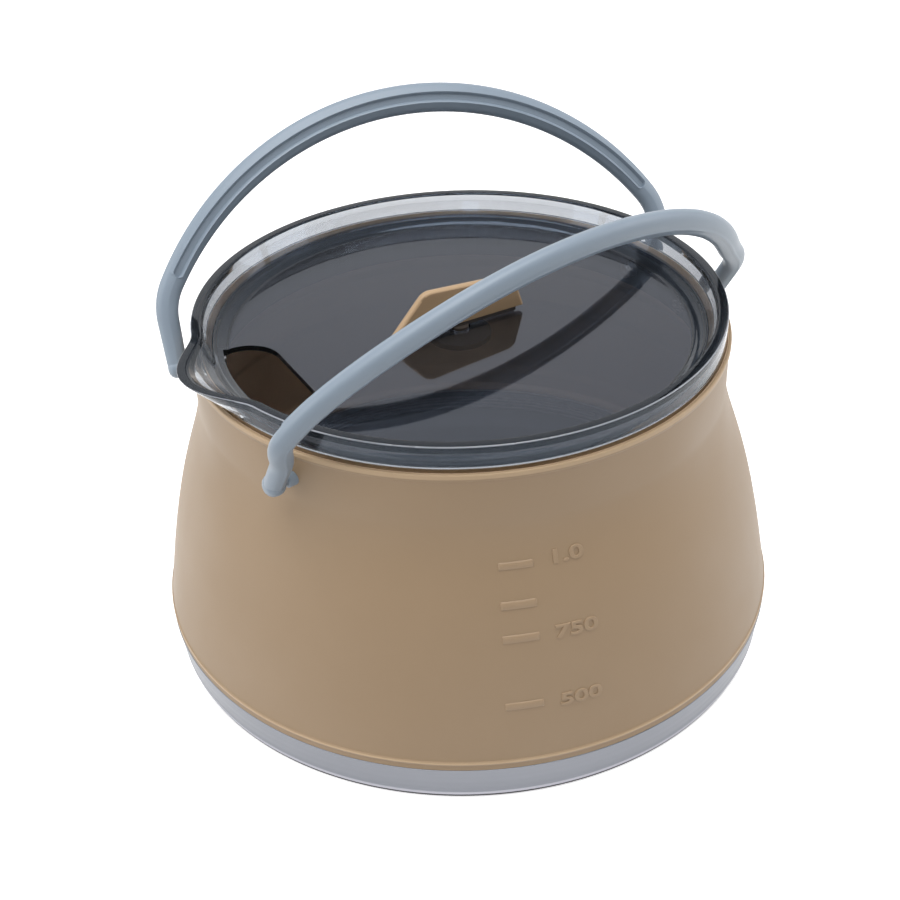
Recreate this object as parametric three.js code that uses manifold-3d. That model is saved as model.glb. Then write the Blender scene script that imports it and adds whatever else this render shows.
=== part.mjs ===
// Collapsible camping kettle: a metal pan base, a folding silicone wall, a clear lid and two bail handles.
// Millimetres, +Z up. The origin is the centre of the flat underside, and the spout points along -X.

import * as THREE from "three";
import { mergeVertices } from "three/addons/utils/BufferGeometryUtils.js";
import Module from "manifold-3d";

const wasm = await Module();
wasm.setup();

// Sizes that several pieces share
const clearance = 0.3;
const overrun = 1;
const turnedSides = 64;
const pinSides = 16;

// Base pan
const panRadius = 81.5;
const panFlare = 1.5;
const panHeight = 10.2;
const panFloor = 2.2;
const panWall = 1.6;
const panFootRound = 2.4;
const shoulderWidth = 2.2;
const shoulderThickness = 1.4;
const lipWall = 1.2;
const lipHeight = 5;

// Silicone wall, from the pan up to the rim
const wallThickness = 2.6;
const lowerWallHeight = 15.8;
const foldWallHeight = 26;
const upperWallHeight = 18.2;
const neckHeight = 15.3;
const neckRadius = 67.15;
const neckThickness = 2.2;
const beadProud = 0.45;
const beadHeight = 2.9;
const flapThickness = 1.5;
const flapRoof = 2;
const ledgeWidth = 1.7;
const ledgeThickness = 1.6;
const footTaperShare = 0.152;
const neckTaperShare = 0.147;
const footPullShare = 0.727;
const neckPullShare = 0.238;

// Rings inside the wall
const clampThickness = 1.1;
const clampHeight = 6.3;
const collarThickness = 2.2;
const collarHeight = 10.2;

// Handle pivots
const pivotStandoff = 4.35;
const pivotDrop = 8.5;
const spoutPivotAngle = 25;
const rearPivotAngle = 8.5;
const pinRadius = 1.15;
const pinHeadRadius = 2.1;
const pinHeadThickness = 1.2;
const bushRadius = 2;
const bushReach = 10.6;

// Bail handles
const bailRise = 56.2;
const bailLeg = 12;
const bailShoulderRadius = 16.25;
const bailThickness = 5;
const bailCrownWidth = 7.5;
const bailLegWidth = 5;
const bailEdgeRound = 1.6;
const bailHeadRadius = 2.7;
const bailPinDepth = 3.4;
const grooveWidth = 2.2;
const grooveDepth = 1.1;
const grooveEndAngle = 36;
const leftLeanAngle = 30.5;
const rightLeanAngle = 21;

// Lid
const lidInset = 0.65;
const lidHeight = 5.8;
const lidEdgeRound = 0.8;
const rimWidth = 2.4;
const rimSlope = 2.4;
const rimStepWidth = 2.1;
const rimStepDrop = 0.8;
const rimStepRun = 1.4;
const discDepth = 7.5;
const discThickness = 1.8;
const plugRun = 3.3;
const plugEdge = 1;
const seatInset = 1.05;

// Spout lip and pouring hole
const spoutReach = 7.3;
const spoutHalfAngle = 16.5;
const spoutWall = 1.6;
const spoutTipHalfWidth = 3;
const spoutBulgeShare = 0.62;
const spoutSpreadShare = 0.5;
const spoutRiseShare = 0.8;
const troughInset = 1.2;
const troughFloor = 0.4;
const holeDepth = 14.8;
const holeOverDisc = 1.1;
const holeHalfWidth = 20.5;
const holeCorner = 10;

// Lid knob
const knobBase = 38.5;
const knobTop = 25.5;
const knobBaseShift = -0.8;
const knobTopShift = 2.8;
const knobHeight = 12.3;
const knobTopDrop = 1.9;
const knobGap = 1.4;
const knobUndercut = 5;
const knobThickness = 2.2;
const knobEdgeRound = 0.6;
const knobCorner = 2;
const stemRadius = 2.4;
const stemEndRadius = 4;
const stemEndThickness = 1;
const washerRadius = 8;
const washerThickness = 1.4;

// Heights and radii that follow from the sizes
const foldFootZ = panHeight + lowerWallHeight;
const foldTopZ = foldFootZ + foldWallHeight;
const neckFootZ = foldTopZ + upperWallHeight;
const rimZ = neckFootZ + neckHeight;
const lidTopZ = rimZ + lidHeight;
const discTopZ = lidTopZ - discDepth;
const discUnderZ = discTopZ - discThickness;
const neckInner = neckRadius - neckThickness;
const lidRadius = neckRadius - lidInset;
const rimInner = lidRadius - rimWidth;
const slopeFoot = rimInner - rimSlope;
const discRadius = slopeFoot - rimStepWidth - rimStepRun;
const holeOuterRadius = discRadius + holeOverDisc;
const holeInnerReach = holeOuterRadius - holeDepth;
const collarOuter = neckInner - clearance;
const collarInner = collarOuter - collarThickness;
const collarFootZ = neckFootZ + ledgeThickness + clearance;
const lipOuter = panRadius - shoulderWidth;
const lipInner = lipOuter - lipWall;
const flapOuter = lipInner - clearance;
const flapInner = flapOuter - flapThickness;
const clampOuter = flapInner - clearance;
const pivotZ = rimZ - pivotDrop;
const pivotRadius = neckRadius + pivotStandoff;
const chordTilt = THREE.MathUtils.degToRad((spoutPivotAngle - rearPivotAngle) / 2);
const chordSpread = THREE.MathUtils.degToRad((spoutPivotAngle + rearPivotAngle) / 2);
const pivotOffset = pivotRadius * Math.sin(chordSpread);
const halfChord = pivotRadius * Math.cos(chordSpread);
const bushBore = pinRadius + clearance;
const bushOuterEnd = halfChord - bailLegWidth / 2 - clearance;
const bushInnerEnd = halfChord - bushReach;

const materials = {
  aluminium: { color: 0x9ea3af, roughness: 0.35, metalness: 1 },
  steel: { color: 0xa8abb0, roughness: 0.3, metalness: 1 },
  silicone: { color: 0xa0886c, roughness: 0.6, metalness: 0 },
  nylon: { color: 0x9ba8b4, roughness: 0.45, metalness: 0 },
  clearPlastic: { color: 0x565a62, roughness: 0.12, metalness: 0 },
};

const kettle = new THREE.Group();

// Mesh with its own material, added to a group
function addPiece(group, name, geometry, material) {
  const mesh = new THREE.Mesh(geometry, new THREE.MeshStandardMaterial(materials[material]));
  mesh.name = name;
  group.add(mesh);
}

// Joins and cuts of closed geometries
function toSolid(geometry) {
  const bare = geometry.clone();
  bare.deleteAttribute("normal");
  bare.deleteAttribute("uv");
  const merged = mergeVertices(bare, 1e-4);
  const vertProperties = new Float32Array(merged.attributes.position.array);
  const triVerts = new Uint32Array(merged.index.array);
  return new wasm.Manifold(new wasm.Mesh({ numProp: 3, vertProperties, triVerts }));
}

function toGeometry(solid) {
  const mesh = solid.getMesh();
  const geometry = new THREE.BufferGeometry();
  geometry.setAttribute("position", new THREE.BufferAttribute(mesh.vertProperties, 3));
  geometry.setIndex(new THREE.BufferAttribute(mesh.triVerts, 1));
  geometry.computeVertexNormals();
  return geometry;
}

function combine(start, added, removed) {
  let solid = toSolid(start);
  for (const geometry of added) solid = solid.add(toSolid(geometry));
  for (const geometry of removed) solid = solid.subtract(toSolid(geometry));
  return toGeometry(solid);
}

// Ring or disc turned about Z from a counter-clockwise outline of radius and height
function turned(outline) {
  const points = outline.map(([radius, height]) => new THREE.Vector2(radius, height));
  if (outline[0][0] > 0) points.push(points[0].clone());
  return new THREE.LatheGeometry(points, turnedSides).rotateX(Math.PI / 2);
}

function disc(radius, lowZ, highZ, sides = pinSides) {
  const geometry = new THREE.CylinderGeometry(radius, radius, highZ - lowZ, sides);
  return geometry.rotateX(Math.PI / 2).translate(0, 0, (lowZ + highZ) / 2);
}

// Outer face of the silicone wall, one curve from the pan to the neck
const wallRise = neckFootZ - panHeight;
const wallCurve = new THREE.CubicBezierCurve(
  new THREE.Vector2(panRadius, panHeight),
  new THREE.Vector2(
    panRadius - footTaperShare * footPullShare * wallRise,
    panHeight + footPullShare * wallRise,
  ),
  new THREE.Vector2(
    neckRadius + neckTaperShare * neckPullShare * wallRise,
    neckFootZ - neckPullShare * wallRise,
  ),
  new THREE.Vector2(neckRadius, neckFootZ),
);

// Share of the curve at which it reaches a height, found by halving
function curveShareAt(height) {
  let low = 0;
  let high = 1;
  for (let step = 0; step < 40; step += 1) {
    const middle = (low + high) / 2;
    if (wallCurve.getPoint(middle).y < height) low = middle;
    else high = middle;
  }
  return (low + high) / 2;
}

// Points of the wall face between two heights, moved inward by a wall
function wallFace(fromZ, toZ, steps, inset = 0) {
  const points = [];
  for (let step = 0; step <= steps; step += 1) {
    const height = fromZ + ((toZ - fromZ) * step) / steps;
    points.push([wallCurve.getPoint(curveShareAt(height)).x - inset, height]);
  }
  return points;
}

// Base pan with an upright lip that the silicone grips
function makeBasePan() {
  const footRadius = panRadius - panFlare;
  const chamfer = lipInner - (panRadius - panWall);
  const wallTopZ = panHeight - shoulderThickness + chamfer;
  const outline = [[0, 0]];
  for (const turn of [0, 1 / 3, 2 / 3, 1]) {
    const angle = (turn * Math.PI) / 2;
    outline.push([
      footRadius - panFootRound + panFootRound * Math.sin(angle),
      panFootRound - panFootRound * Math.cos(angle),
    ]);
  }
  outline.push(
    [panRadius, panHeight],
    [lipOuter, panHeight],
    [lipOuter, panHeight + lipHeight],
    [lipInner, panHeight + lipHeight],
    [lipInner, panHeight - shoulderThickness],
    [panRadius - panWall, wallTopZ],
    [footRadius - panWall, panFloor + panWall],
    [footRadius - 2 * panWall, panFloor],
    [0, panFloor],
  );
  return turned(outline);
}

// Foot of the silicone wall, with a groove over the lip of the pan
function makeLowerWall() {
  const grooveOuter = lipOuter + clearance;
  const grooveRoofZ = panHeight + lipHeight + clearance;
  const flapTopZ = grooveRoofZ + flapRoof;
  return turned([
    ...wallFace(panHeight, foldFootZ, 4),
    ...wallFace(foldFootZ, flapTopZ + flapThickness, 2, wallThickness),
    [flapInner, flapTopZ],
    [flapInner, panHeight],
    [flapOuter, panHeight],
    [flapOuter, grooveRoofZ],
    [grooveOuter, grooveRoofZ],
    [grooveOuter, panHeight],
  ]);
}

function makeFoldWall() {
  return turned([
    ...wallFace(foldFootZ, foldTopZ, 6),
    ...wallFace(foldTopZ, foldFootZ, 6, wallThickness),
  ]);
}

// Upper wall and neck, with a ledge under the collar and a bead at the rim
function makeUpperWall() {
  const beadFootZ = rimZ - beadHeight;
  const beadRadius = neckRadius + beadProud;
  const outline = [
    ...wallFace(foldTopZ, neckFootZ, 5),
    [neckRadius, beadFootZ],
    [beadRadius, beadFootZ + beadProud],
    [beadRadius, rimZ - beadProud],
    [neckRadius, rimZ],
    [neckInner, rimZ],
    [neckInner, neckFootZ + ledgeThickness],
    [neckInner - ledgeWidth, neckFootZ + ledgeThickness],
    [neckInner - ledgeWidth, neckFootZ],
    ...wallFace(neckFootZ - ledgeWidth, foldTopZ, 4, wallThickness),
  ];
  return combine(turned(outline), [], bushHoles());
}

function makeRimCollar() {
  const ring = turned([
    [collarInner, collarFootZ],
    [collarOuter, collarFootZ],
    [collarOuter, collarFootZ + collarHeight],
    [collarInner, collarFootZ + collarHeight],
  ]);
  return combine(ring, [], bushHoles());
}

function makeClampRing() {
  const footZ = panHeight + clearance;
  return turned([
    [clampOuter - clampThickness, footZ],
    [clampOuter, footZ],
    [clampOuter, footZ + clampHeight],
    [clampOuter - clampThickness, footZ + clampHeight],
  ]);
}

// Moves a shape made about the pivot chord of a handle to its side of the kettle.
// There x points out from the kettle, y along the chord, and the spout's end is at y times the side.
function toSide(geometry, side) {
  return geometry.translate(pivotOffset, 0, pivotZ).rotateZ(side * (Math.PI / 2 - chordTilt));
}

// Rod along the pivot chord, between two distances from its middle
function chordRod(radius, from, to) {
  const rod = new THREE.CylinderGeometry(radius, radius, to - from, pinSides);
  return rod.translate(0, (from + to) / 2, 0);
}

function flipToEnd(geometry, end) {
  return end > 0 ? geometry : geometry.rotateZ(Math.PI);
}

function bushHoles() {
  const holes = [];
  for (const side of [-1, 1]) {
    for (const end of [-1, 1]) {
      const rod = chordRod(bushRadius + clearance, bushInnerEnd - overrun, bushOuterEnd + overrun);
      holes.push(toSide(flipToEnd(rod, end), side));
    }
  }
  return holes;
}

function makeBush() {
  return combine(
    chordRod(bushRadius, bushInnerEnd, bushOuterEnd),
    [],
    [chordRod(bushBore, bushInnerEnd - overrun, bushOuterEnd + overrun)],
  );
}

function makePin() {
  const legFace = halfChord - bailLegWidth / 2;
  const headEnd = bushInnerEnd - clearance;
  return combine(
    chordRod(pinRadius, headEnd - pinHeadThickness / 2, legFace + bailPinDepth - clearance),
    [chordRod(pinHeadRadius, headEnd - pinHeadThickness, headEnd)],
    [],
  );
}

// Centre line of a bail: straight legs, round shoulders and one wide crown that touches both
const shoulderReach = halfChord - bailShoulderRadius;
const shoulderTop = bailRise - bailShoulderRadius;
const crownCentre =
  (shoulderTop ** 2 - shoulderReach ** 2 - bailLeg ** 2) / (2 * (shoulderTop - bailLeg));
const bailCrownRadius = bailRise - crownCentre;
const crownStart = Math.atan2(bailLeg - crownCentre, shoulderReach);

function bailCentreLine() {
  const path = new THREE.Path();
  path.moveTo(halfChord, 0);
  path.lineTo(halfChord, bailLeg);
  path.absarc(shoulderReach, bailLeg, bailShoulderRadius, 0, crownStart, false);
  path.absarc(0, crownCentre, bailCrownRadius, crownStart, Math.PI - crownStart, false);
  path.absarc(-shoulderReach, bailLeg, bailShoulderRadius, Math.PI - crownStart, Math.PI, false);
  path.lineTo(-halfChord, 0);
  return path;
}

// Outline of a bail in its own plane, widest at the crown
function bailOutline() {
  const path = bailCentreLine();
  const steps = 44;
  const outer = [];
  const inner = [];
  for (let step = 0; step <= steps; step += 1) {
    const place = path.getPointAt(step / steps);
    const tangent = path.getTangentAt(step / steps);
    const rise = Math.min(1, Math.max(0, place.y / bailRise));
    const halfWidth = (bailLegWidth + (bailCrownWidth - bailLegWidth) * rise) / 2;
    const across = new THREE.Vector2(tangent.y, -tangent.x).multiplyScalar(halfWidth);
    outer.push(place.clone().add(across));
    inner.unshift(place.clone().sub(across));
  }
  return new THREE.Shape([...outer, ...inner]);
}

// Finger groove along the crown on the face that meets the other bail
function bailGroove() {
  const start = THREE.MathUtils.degToRad(grooveEndAngle);
  const outerRadius = bailCrownRadius + grooveWidth / 2;
  const innerRadius = bailCrownRadius - grooveWidth / 2;
  const groove = new THREE.Shape();
  groove.absarc(0, crownCentre, outerRadius, start, Math.PI - start, false);
  groove.absarc(
    -bailCrownRadius * Math.cos(start),
    crownCentre + bailCrownRadius * Math.sin(start),
    grooveWidth / 2,
    Math.PI - start,
    2 * Math.PI - start,
    false,
  );
  groove.absarc(0, crownCentre, innerRadius, Math.PI - start, start, true);
  groove.absarc(
    bailCrownRadius * Math.cos(start),
    crownCentre + bailCrownRadius * Math.sin(start),
    grooveWidth / 2,
    Math.PI + start,
    2 * Math.PI + start,
    false,
  );
  return groove;
}

// Bail about its pivot chord: x out from the kettle, y along the chord, z up its plane
function makeBail() {
  const upright = new THREE.Matrix4().makeBasis(
    new THREE.Vector3(0, 1, 0),
    new THREE.Vector3(0, 0, 1),
    new THREE.Vector3(1, 0, 0),
  );
  const arch = new THREE.ExtrudeGeometry(bailOutline(), {
    depth: bailThickness - 2 * bailEdgeRound,
    bevelThickness: bailEdgeRound,
    bevelSize: bailEdgeRound,
    bevelOffset: -bailEdgeRound,
    bevelSegments: 2,
  });
  arch.translate(0, 0, bailEdgeRound - bailThickness / 2).applyMatrix4(upright);
  const groove = new THREE.ExtrudeGeometry(bailGroove(), {
    depth: grooveDepth + overrun,
    bevelEnabled: false,
    curveSegments: 14,
  });
  groove.translate(0, 0, -overrun - bailThickness / 2).applyMatrix4(upright);
  const legFace = halfChord - bailLegWidth / 2;
  const heads = [-1, 1].map((end) =>
    flipToEnd(chordRod(bailHeadRadius, legFace, legFace + bailLegWidth), end),
  );
  const holes = [-1, 1].map((end) =>
    flipToEnd(chordRod(bushBore, legFace - overrun, legFace + bailPinDepth), end),
  );
  return combine(arch, heads, [groove, ...holes]);
}

// Plan of the spout lip: from the lid's edge to a blunt tip, made smaller by a wall
function spoutPlan(inset, rootRadius) {
  const halfAngle = THREE.MathUtils.degToRad(spoutHalfAngle) - inset / lidRadius;
  const tip = lidRadius + spoutReach - inset;
  const edgeX = lidRadius * Math.cos(halfAngle);
  const edgeY = lidRadius * Math.sin(halfAngle);
  const bulgeX = edgeX + (tip - edgeX) * spoutBulgeShare;
  const bulgeY = edgeY * spoutSpreadShare;
  const plan = new THREE.Shape();
  plan.moveTo(-rootRadius * Math.cos(halfAngle), rootRadius * Math.sin(halfAngle));
  plan.lineTo(-edgeX, edgeY);
  plan.quadraticCurveTo(-bulgeX - inset / 2, bulgeY, -tip, spoutTipHalfWidth - inset / 2);
  plan.lineTo(-tip, inset / 2 - spoutTipHalfWidth);
  plan.quadraticCurveTo(-bulgeX - inset / 2, -bulgeY, -edgeX, -edgeY);
  plan.lineTo(-rootRadius * Math.cos(halfAngle), -rootRadius * Math.sin(halfAngle));
  return plan;
}

// Block over that plan that draws in to a given radius at its foot
function spoutBlock(plan, footRadius, lowZ, highZ, fullZ) {
  const block = new THREE.ExtrudeGeometry(plan, {
    depth: highZ - lowZ,
    steps: 4,
    bevelEnabled: false,
    curveSegments: 5,
  });
  const place = block.attributes.position;
  for (let index = 0; index < place.count; index += 1) {
    const reach = Math.hypot(place.getX(index), place.getY(index));
    const rise = Math.min(1, place.getZ(index) / (fullZ - lowZ));
    if (reach > footRadius) {
      const drawn = footRadius + (reach - footRadius) * rise ** spoutRiseShare;
      place.setX(index, (place.getX(index) * drawn) / reach);
      place.setY(index, (place.getY(index) * drawn) / reach);
    }
  }
  return block.translate(0, 0, lowZ);
}

function pouringHole() {
  const farReach = holeOuterRadius + holeCorner;
  const plan = new THREE.Shape();
  plan.moveTo(-farReach, -holeHalfWidth);
  plan.lineTo(-holeInnerReach - holeCorner, -holeHalfWidth);
  plan.absarc(-holeInnerReach - holeCorner, holeCorner - holeHalfWidth, holeCorner, -Math.PI / 2, 0, false);
  plan.absarc(-holeInnerReach - holeCorner, holeHalfWidth - holeCorner, holeCorner, 0, Math.PI / 2, false);
  plan.lineTo(-farReach, holeHalfWidth);
  const depth = discThickness + 2 * overrun;
  const block = new THREE.ExtrudeGeometry(plan, { depth, bevelEnabled: false, curveSegments: 5 });
  block.translate(0, 0, discUnderZ - overrun);
  const limit = disc(holeOuterRadius, discUnderZ - 2 * overrun, discTopZ + 2 * overrun, turnedSides);
  return toGeometry(toSolid(block).intersect(toSolid(limit)));
}

// Lid: a sunken disc, a sloping rim that stands on the neck, a spout lip and its trough
function makeLidShell() {
  const seatRadius = neckInner - seatInset;
  const shell = turned([
    [0, discUnderZ],
    [seatRadius - plugRun - plugEdge, discUnderZ],
    [seatRadius - plugRun + plugEdge, discUnderZ + plugEdge],
    [seatRadius, rimZ],
    [lidRadius, rimZ],
    [lidRadius, lidTopZ - lidEdgeRound],
    [lidRadius - lidEdgeRound, lidTopZ],
    [rimInner, lidTopZ],
    [slopeFoot, rimZ],
    [slopeFoot - rimStepWidth, rimZ - rimStepDrop],
    [discRadius, discTopZ],
    [0, discTopZ],
  ]);
  const lip = spoutBlock(spoutPlan(0, rimInner), lidRadius, rimZ, lidTopZ, lidTopZ);
  const troughRoot = discRadius - overrun;
  const trough = spoutBlock(
    spoutPlan(spoutWall, troughRoot),
    slopeFoot - troughInset,
    discTopZ + troughFloor,
    lidTopZ + overrun,
    lidTopZ,
  );
  const stemHole = disc(stemRadius + clearance, discUnderZ - overrun, discTopZ + overrun);
  return combine(shell, [lip], [trough, pouringHole(), stemHole]);
}

// Knob: an upright soft tab along the spout line, lower at the rear, undercut at both ends,
// with a stem through the lid
function makeKnob() {
  const tab = new THREE.Shape();
  const baseLeft = knobBaseShift - knobBase / 2;
  const baseRight = knobBaseShift + knobBase / 2;
  const topLeft = knobTopShift - knobTop / 2;
  const topRight = knobTopShift + knobTop / 2;
  const rearHeight = knobHeight - knobTopDrop;
  tab.moveTo(baseLeft, knobGap);
  tab.lineTo(baseLeft + knobUndercut, knobGap);
  tab.lineTo(baseLeft + knobUndercut, clearance);
  tab.lineTo(baseRight - knobUndercut, clearance);
  tab.lineTo(baseRight - knobUndercut, knobGap);
  tab.lineTo(baseRight, knobGap);
  tab.lineTo(topRight + knobCorner / 2, rearHeight - knobCorner);
  tab.quadraticCurveTo(topRight, rearHeight, topRight - knobCorner, rearHeight);
  tab.lineTo(topLeft + knobCorner, knobHeight);
  tab.quadraticCurveTo(topLeft, knobHeight, topLeft - knobCorner / 2, knobHeight - knobCorner);
  const blade = new THREE.ExtrudeGeometry(tab, {
    depth: knobThickness - 2 * knobEdgeRound,
    bevelThickness: knobEdgeRound,
    bevelSize: knobEdgeRound,
    bevelOffset: -knobEdgeRound,
    bevelSegments: 2,
    curveSegments: 4,
  });
  blade.rotateX(Math.PI / 2).translate(0, knobThickness / 2 - knobEdgeRound, discTopZ);
  const stemEndZ = discUnderZ - washerThickness - 2 * clearance;
  const stem = disc(stemRadius, stemEndZ - stemEndThickness / 2, discTopZ + knobGap);
  const stemEnd = disc(stemEndRadius, stemEndZ - stemEndThickness, stemEndZ);
  return combine(blade, [stem, stemEnd], []);
}

function makeWasher() {
  const topZ = discUnderZ - clearance;
  const footZ = topZ - washerThickness;
  return combine(
    disc(washerRadius, footZ, topZ, 2 * pinSides),
    [],
    [disc(stemRadius + clearance, footZ - overrun, topZ + overrun)],
  );
}

addPiece(kettle, "base_pan", makeBasePan(), "aluminium");
addPiece(kettle, "clamp_ring", makeClampRing(), "steel");
addPiece(kettle, "lower_wall", makeLowerWall(), "silicone");
addPiece(kettle, "fold_wall", makeFoldWall(), "silicone");
addPiece(kettle, "upper_wall", makeUpperWall(), "silicone");
addPiece(kettle, "rim_collar", makeRimCollar(), "nylon");

// Both handles and what they turn on; left and right are as seen from behind the kettle
const sides = [
  { name: "left", side: -1, lean: leftLeanAngle },
  { name: "right", side: 1, lean: rightLeanAngle },
];
for (const { name, side, lean } of sides) {
  for (const end of [-1, 1]) {
    const place = end === side ? "spout" : "rear";
    addPiece(kettle, `pivot_bush_${place}_${name}`, toSide(flipToEnd(makeBush(), end), side), "nylon");
    addPiece(kettle, `pivot_pin_${place}_${name}`, toSide(flipToEnd(makePin(), end), side), "steel");
  }
  const chord = new THREE.Group();
  const turn = side * (Math.PI / 2 - chordTilt);
  chord.position.set(pivotOffset * Math.cos(turn), pivotOffset * Math.sin(turn), pivotZ);
  chord.rotation.z = turn;
  const leaning = new THREE.Group();
  leaning.rotation.y = THREE.MathUtils.degToRad(lean);
  chord.add(leaning);
  kettle.add(chord);
  addPiece(leaning, `handle_${name}`, makeBail(), "nylon");
}

addPiece(kettle, "lid_shell", makeLidShell(), "clearPlastic");
addPiece(kettle, "lid_knob", makeKnob(), "silicone");
addPiece(kettle, "knob_washer", makeWasher(), "nylon");

export default kettle;
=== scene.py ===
import math
import bpy
from mathutils import Matrix, Vector


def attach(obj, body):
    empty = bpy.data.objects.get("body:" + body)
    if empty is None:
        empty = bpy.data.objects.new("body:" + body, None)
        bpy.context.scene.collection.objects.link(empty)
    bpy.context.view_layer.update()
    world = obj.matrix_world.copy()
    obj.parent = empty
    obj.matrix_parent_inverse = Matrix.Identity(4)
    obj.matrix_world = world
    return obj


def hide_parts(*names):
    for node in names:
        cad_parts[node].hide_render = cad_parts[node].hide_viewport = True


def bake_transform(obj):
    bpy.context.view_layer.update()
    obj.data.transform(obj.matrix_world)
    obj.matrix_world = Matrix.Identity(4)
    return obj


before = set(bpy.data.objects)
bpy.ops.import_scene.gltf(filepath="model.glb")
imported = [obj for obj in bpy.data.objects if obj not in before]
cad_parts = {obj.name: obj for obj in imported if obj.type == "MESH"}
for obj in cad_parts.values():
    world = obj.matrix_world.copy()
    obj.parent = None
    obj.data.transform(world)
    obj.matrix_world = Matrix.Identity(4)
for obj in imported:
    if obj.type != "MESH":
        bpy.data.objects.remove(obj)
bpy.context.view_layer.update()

toMetres = 0.001  # every size below is in millimetres
aroundSteps = 256
print("stage: frame loaded")


# meshes
def makeObject(name, verts, faces, body, material, sharpAngle=38):
    mesh = bpy.data.meshes.new(name)
    mesh.from_pydata([tuple(c * toMetres for c in v) for v in verts], [], faces)
    mesh.validate()
    mesh.shade_smooth()
    mesh.set_sharp_from_angle(angle=math.radians(sharpAngle))
    mesh.materials.append(material)
    piece = bpy.data.objects.new(name, mesh)
    bpy.context.scene.collection.objects.link(piece)
    if body:
        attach(piece, body)
    return piece


def filletPath(corners, steps=5):
    # corners are (radius, height, round); the ends of an open path have no round
    points = []
    for index, (r, z, size) in enumerate(corners):
        if size == 0 or index in (0, len(corners) - 1):
            points.append((r, z))
            continue
        here = Vector((r, z))
        before = Vector(corners[index - 1][:2]) - here
        after = Vector(corners[index + 1][:2]) - here
        start = here + before.normalized() * min(size, before.length * 0.49)
        end = here + after.normalized() * min(size, after.length * 0.49)
        for step in range(steps + 1):
            t = step / steps
            bend = start * (1 - t) ** 2 + here * 2 * t * (1 - t) + end * t ** 2
            points.append((bend.x, bend.y))
    return points


def splitLongRuns(points, longest):
    split = [points[0]]
    for (r0, z0), (r1, z1) in zip(points, points[1:]):
        count = max(1, math.ceil(math.hypot(r1 - r0, z1 - z0) / longest))
        split += [(r0 + (r1 - r0) * n / count, z0 + (z1 - z0) * n / count) for n in range(1, count + 1)]
    return split


def revolve(profile, place=None, steps=aroundSteps):
    # a closed loop of (radius, height); points on the axis become one vertex
    verts, rings = [], []
    for r, z in profile:
        if r < 1e-6:
            rings.append([len(verts)] * steps)
            verts.append((0, 0, z) if place is None else place(0, z, 0))
            continue
        rings.append(list(range(len(verts), len(verts) + steps)))
        for step in range(steps):
            angle = 2 * math.pi * step / steps
            if place is None:
                verts.append((r * math.cos(angle), r * math.sin(angle), z))
            else:
                verts.append(place(r, z, angle))
    faces = []
    for index, lower in enumerate(rings):
        upper = rings[(index + 1) % len(rings)]
        for step in range(steps):
            nextStep = (step + 1) % steps
            corners = [lower[step], lower[nextStep], upper[nextStep], upper[step]]
            face = list(dict.fromkeys(corners))
            if len(face) > 2:
                faces.append(face)
    return verts, faces


def cutWith(piece, cutter):
    change = piece.modifiers.new("cut", "BOOLEAN")
    change.object = cutter
    change.operation = "DIFFERENCE"
    change.solver = "EXACT"
    graph = bpy.context.evaluated_depsgraph_get()
    cutMesh = bpy.data.meshes.new_from_object(piece.evaluated_get(graph))
    piece.modifiers.clear()
    piece.data = cutMesh
    bpy.data.objects.remove(cutter)


def extrudeOutline(outline, lowZ, highZ):
    count = len(outline)
    verts = [(x, y, lowZ) for x, y in outline] + [(x, y, highZ) for x, y in outline]
    faces = [list(range(count))[::-1], list(range(count, 2 * count))]
    for index in range(count):
        following = (index + 1) % count
        faces.append([index, following, count + following, count + index])
    return verts, faces


def addLoft(faces, start, rings, count, flipped=False):
    # side faces between rings of count points, then the cap at each end;
    # flipped keeps the first corner of each face, so its diagonal stays too
    last = start + (rings - 1) * count
    made = []
    for low in range(start, last, count):
        for step in range(count):
            a, b = low + step, low + (step + 1) % count
            made.append([a, b, b + count, a + count])
    made.append(list(range(start, start + count))[::-1])
    made.append(list(range(last, last + count)))
    faces += [face[:1] + face[:0:-1] for face in made] if flipped else made


# shader groups that several materials share
def startGroup(name, inputs, outputs):
    group = bpy.data.node_groups.new(name, "ShaderNodeTree")
    for label, kind, value in inputs:
        socket = group.interface.new_socket(label, in_out="INPUT", socket_type=kind)
        socket.default_value = value
    for label, kind in outputs:
        group.interface.new_socket(label, in_out="OUTPUT", socket_type=kind)
    entry = group.nodes.new("NodeGroupInput")
    leave = group.nodes.new("NodeGroupOutput")
    return group, entry, leave


def addNode(tree, kind, settings=None, values=None):
    node = tree.nodes.new(kind)
    for key, value in (settings or {}).items():
        setattr(node, key, value)
    for key, value in (values or {}).items():
        node.inputs[key].default_value = value
    return node


def join(tree, source, output, target, entry):
    tree.links.new(source.outputs[output], target.inputs[entry])


def makeMottleGroup():
    inputs = [
        ("Color", "NodeSocketColor", (0.5, 0.5, 0.5, 1)),
        ("Tint", "NodeSocketColor", (0.4, 0.4, 0.4, 1)),
        ("Scale", "NodeSocketFloat", 60.0),
        ("Amount", "NodeSocketFloat", 0.2),
    ]
    group, entry, leave = startGroup("softMottle", inputs, [("Color", "NodeSocketColor")])
    coord = addNode(group, "ShaderNodeTexCoord")
    noise = addNode(group, "ShaderNodeTexNoise", None, {"Detail": 4.0, "Roughness": 0.6})
    scaled = addNode(group, "ShaderNodeMath", {"operation": "MULTIPLY"})
    mix = addNode(group, "ShaderNodeMix", {"data_type": "RGBA"})
    join(group, coord, "Object", noise, "Vector")
    join(group, entry, "Scale", noise, "Scale")
    join(group, noise, "Fac", scaled, 0)
    join(group, entry, "Amount", scaled, 1)
    join(group, scaled, 0, mix, "Factor")
    join(group, entry, "Color", mix, "A")
    join(group, entry, "Tint", mix, "B")
    join(group, mix, "Result", leave, "Color")
    return group


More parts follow.
